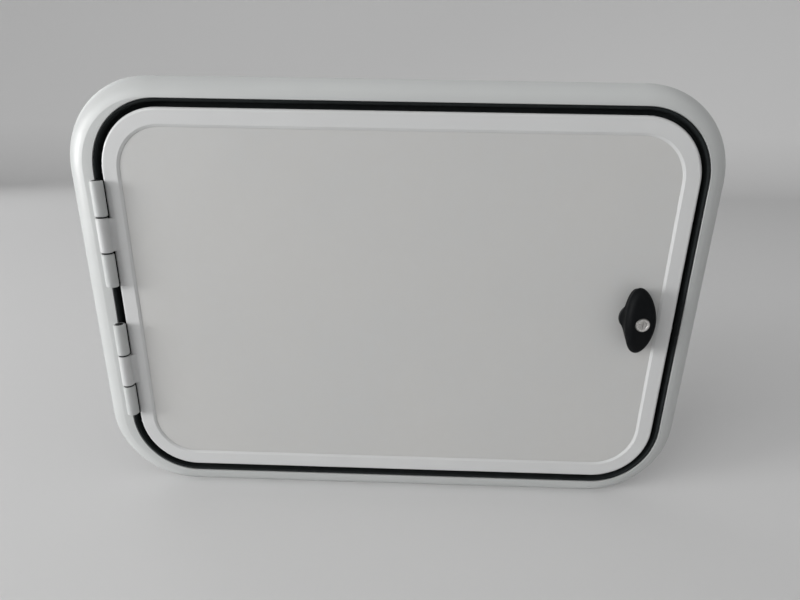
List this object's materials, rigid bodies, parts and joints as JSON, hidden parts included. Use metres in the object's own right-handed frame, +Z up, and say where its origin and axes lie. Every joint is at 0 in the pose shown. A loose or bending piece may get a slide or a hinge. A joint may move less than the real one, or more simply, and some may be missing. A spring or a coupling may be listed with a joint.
{
  "type": "caravan storage door",
  "caption": "Side-hinged storage locker door in a flanged rounded frame with a black seal, barrel hinges and a wing knob lock.",
  "frame": {"origin": "centre of the leaf's outline, on the flange's back face, which lies on the wall", "axes": "+X from the hinge side to the latch side, -Y out of the wall towards the viewer, +Z up"},
  "size_m": [0.6684, 0.0758, 0.4674],
  "materials": {
    "frame_white": "moulded satin gloss",
    "rim_white": "moulded satin gloss",
    "sheet_white": "smooth laminate",
    "skin_white": "smooth laminate",
    "edge_white": "moulded",
    "core_foam": "closed-cell foam",
    "seal_black": "matte",
    "pin_steel": "drawn",
    "keeper_steel": "zinc plated",
    "spindle_steel": "turned",
    "nut_steel": "zinc plated",
    "latch_black": "moulded",
    "knob_black": "moulded satin",
    "barrel_silver": "nickel plated, dull",
    "plug_silver": "nickel plated, dull"
  },
  "bodies": {
    "frame": {"outer_frame": "frame_white", "rubber_seal": "seal_black", "upper_hinge_pin": "pin_steel", "lower_hinge_pin": "pin_steel", "latch_keeper": "keeper_steel"},
    "leaf": {"leaf_rim": "rim_white", "front_sheet": "sheet_white", "foam_core": "core_foam", "edge_frame": "edge_white", "inner_skin": "skin_white", "latch_housing": "latch_black", "housing_nut": "nut_steel"},
    "knob": {"latch_knob": "knob_black", "lock_barrel": "barrel_silver", "latch_spindle": "spindle_steel", "cam_tongue": "keeper_steel", "cam_washer": "nut_steel", "cam_nut": "nut_steel"},
    "plug": {"key_plug": "plug_silver"}
  },
  "joints": [
    {"name": "door_swing", "type": "hinge", "parent": "frame", "child": "leaf", "pos_m": [-0.304, -0.02, 0], "axis": [0, 0, -1], "range_deg": [0, 170]},
    {"name": "knob_turn", "type": "hinge", "parent": "leaf", "child": "knob", "pos_m": [0.255, -0.02, 0], "axis": [0, 1, 0], "range_deg": [0, 90]},
    {"name": "key_turn", "type": "hinge", "parent": "knob", "child": "plug", "pos_m": [0.255, -0.03, 0], "axis": [0, 1, 0], "range_deg": [0, 90]}
  ]
}
